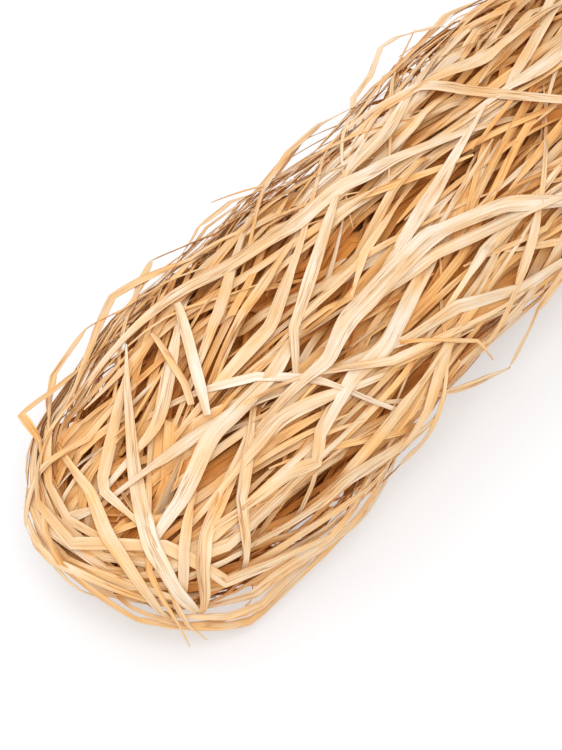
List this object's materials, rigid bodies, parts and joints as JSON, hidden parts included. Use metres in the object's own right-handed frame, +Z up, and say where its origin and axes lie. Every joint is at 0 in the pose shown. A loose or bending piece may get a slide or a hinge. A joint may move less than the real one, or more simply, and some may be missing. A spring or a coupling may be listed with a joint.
{
  "type": "bundle of raffia",
  "caption": "Folded hank of dry, flat palm-leaf raffia strips lying on its side, with a rounded folded end, loose strips crossing over it and loops standing off it.",
  "frame": {"origin": "on the surface that the bundle lies on, under the middle of its box", "axes": "+X along the bundle, from its folded near end to its far end; +Y across it; +Z up"},
  "size_m": [0.353, 0.1166, 0.0696],
  "materials": {
    "heap_straw": "satin",
    "pale_straw": "satin",
    "mid_straw": "satin",
    "brown_straw": "satin"
  },
  "bodies": {
    "root": {"strand_heap": "heap_straw", "end_loop_low": "brown_straw", "end_loop_high": "mid_straw", "fold_strip": "mid_straw", "end_strip_a": "mid_straw", "end_strip_b": "mid_straw", "end_strip_c": "mid_straw", "side_strip_a": "mid_straw", "side_strip_b": "mid_straw", "kinked_strip_a": "pale_straw", "lower_strip_a": "mid_straw", "lower_strip_b": "mid_straw", "lower_strip_c": "mid_straw", "side_loop_a": "brown_straw", "side_strip_c": "mid_straw", "pale_strip": "pale_straw", "split_strip_a": "brown_straw", "split_strip_b": "mid_straw", "wide_slant_strip": "pale_straw", "thin_slant_strip": "mid_straw", "slant_strip": "pale_straw", "middle_strip_a": "mid_straw", "middle_strip_b": "brown_straw", "cross_strip_a": "pale_straw", "pale_wide_strip": "pale_straw", "long_crossing_strip": "pale_straw", "upright_strip": "pale_straw", "kinked_strip_b": "mid_straw", "middle_strip_c": "mid_straw", "ridge_strip": "pale_straw", "pale_stick": "pale_straw", "cross_strip_b": "pale_straw", "wide_strip_a": "pale_straw", "thin_long_strip": "mid_straw", "lower_strip_d": "pale_straw", "lower_strip_e": "mid_straw", "tail_strip": "brown_straw", "side_loop_b": "mid_straw", "wide_strip_b": "pale_straw", "leaf_strip": "pale_straw", "strip_beside_leaf": "pale_straw", "widest_strip": "pale_straw", "far_strip_a": "pale_straw", "far_cross_strip": "pale_straw", "far_strip_b": "pale_straw", "far_strip_c": "pale_straw", "far_strip_d": "mid_straw", "left_corner_strip": "brown_straw", "left_loop_strip": "brown_straw", "left_bow_strip": "mid_straw", "back_bow_strip": "mid_straw", "back_kink_strip": "brown_straw", "tip_strip": "brown_straw", "upper_bow_strip": "mid_straw", "hook_strip": "mid_straw", "upright_stick": "brown_straw", "far_bow_strip": "brown_straw", "far_loop_low": "mid_straw", "far_loop_high": "mid_straw", "back_strip": "mid_straw"}
  },
  "joints": []
}
